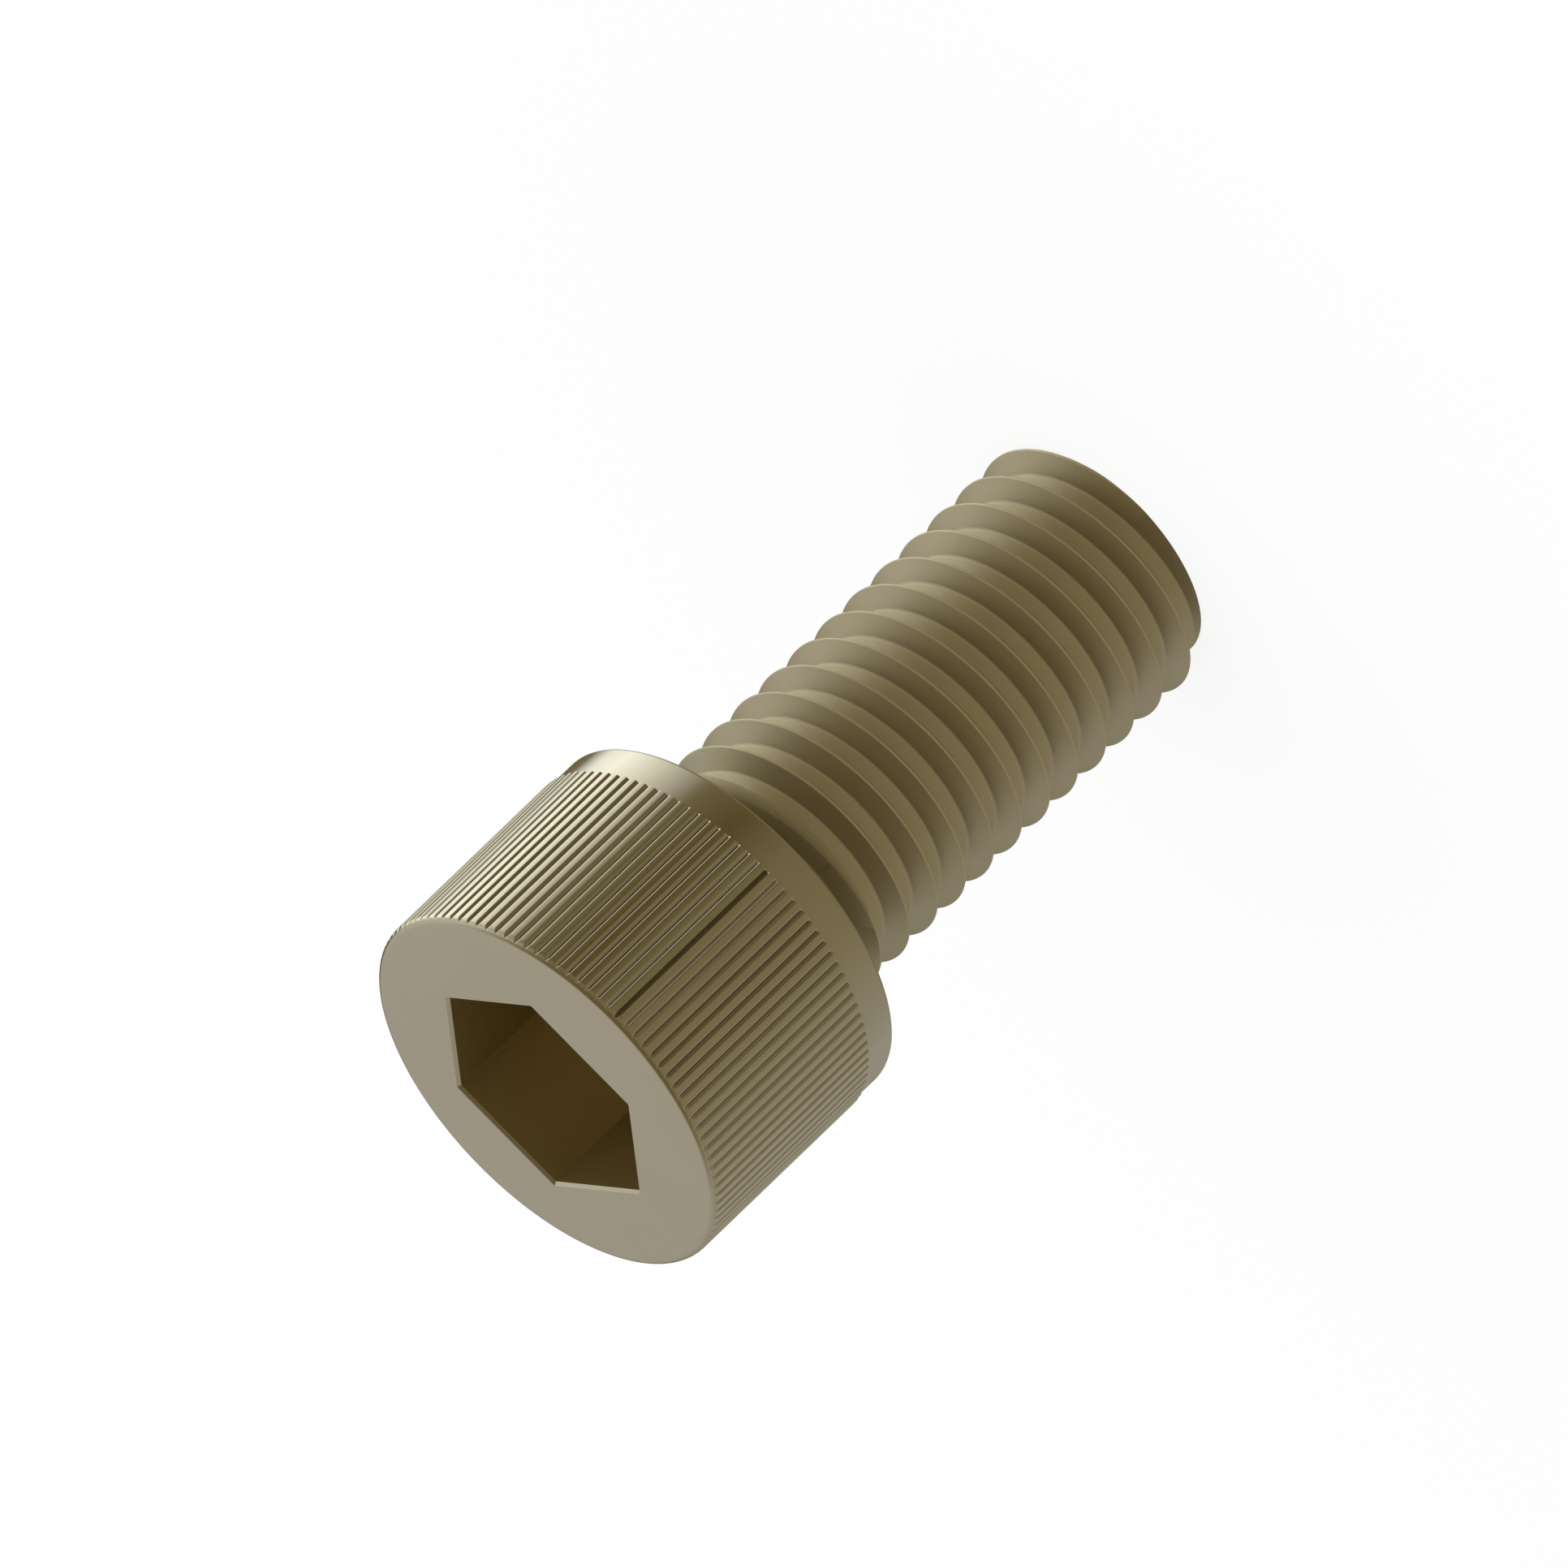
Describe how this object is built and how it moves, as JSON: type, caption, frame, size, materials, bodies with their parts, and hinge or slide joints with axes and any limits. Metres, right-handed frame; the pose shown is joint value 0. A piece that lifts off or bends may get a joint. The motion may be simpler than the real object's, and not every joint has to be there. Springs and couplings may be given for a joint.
{
  "type": "socket head cap screw",
  "caption": "Cylinder head screw with a hexagon socket, a straight-knurled head above a plain collar, and a thread that runs almost to the head and ends flat.",
  "frame": {"origin": "centre of the flat free end of the thread", "axes": "+Z along the screw's axis, towards the head; two corners of the hexagon socket lie on the X axis"},
  "size_m": [0.0152, 0.0152, 0.0298],
  "materials": {
    "screw_metal": "satin, warm grey with a faint olive tone"
  },
  "bodies": {
    "root": {"screw": "screw_metal"}
  },
  "joints": []
}
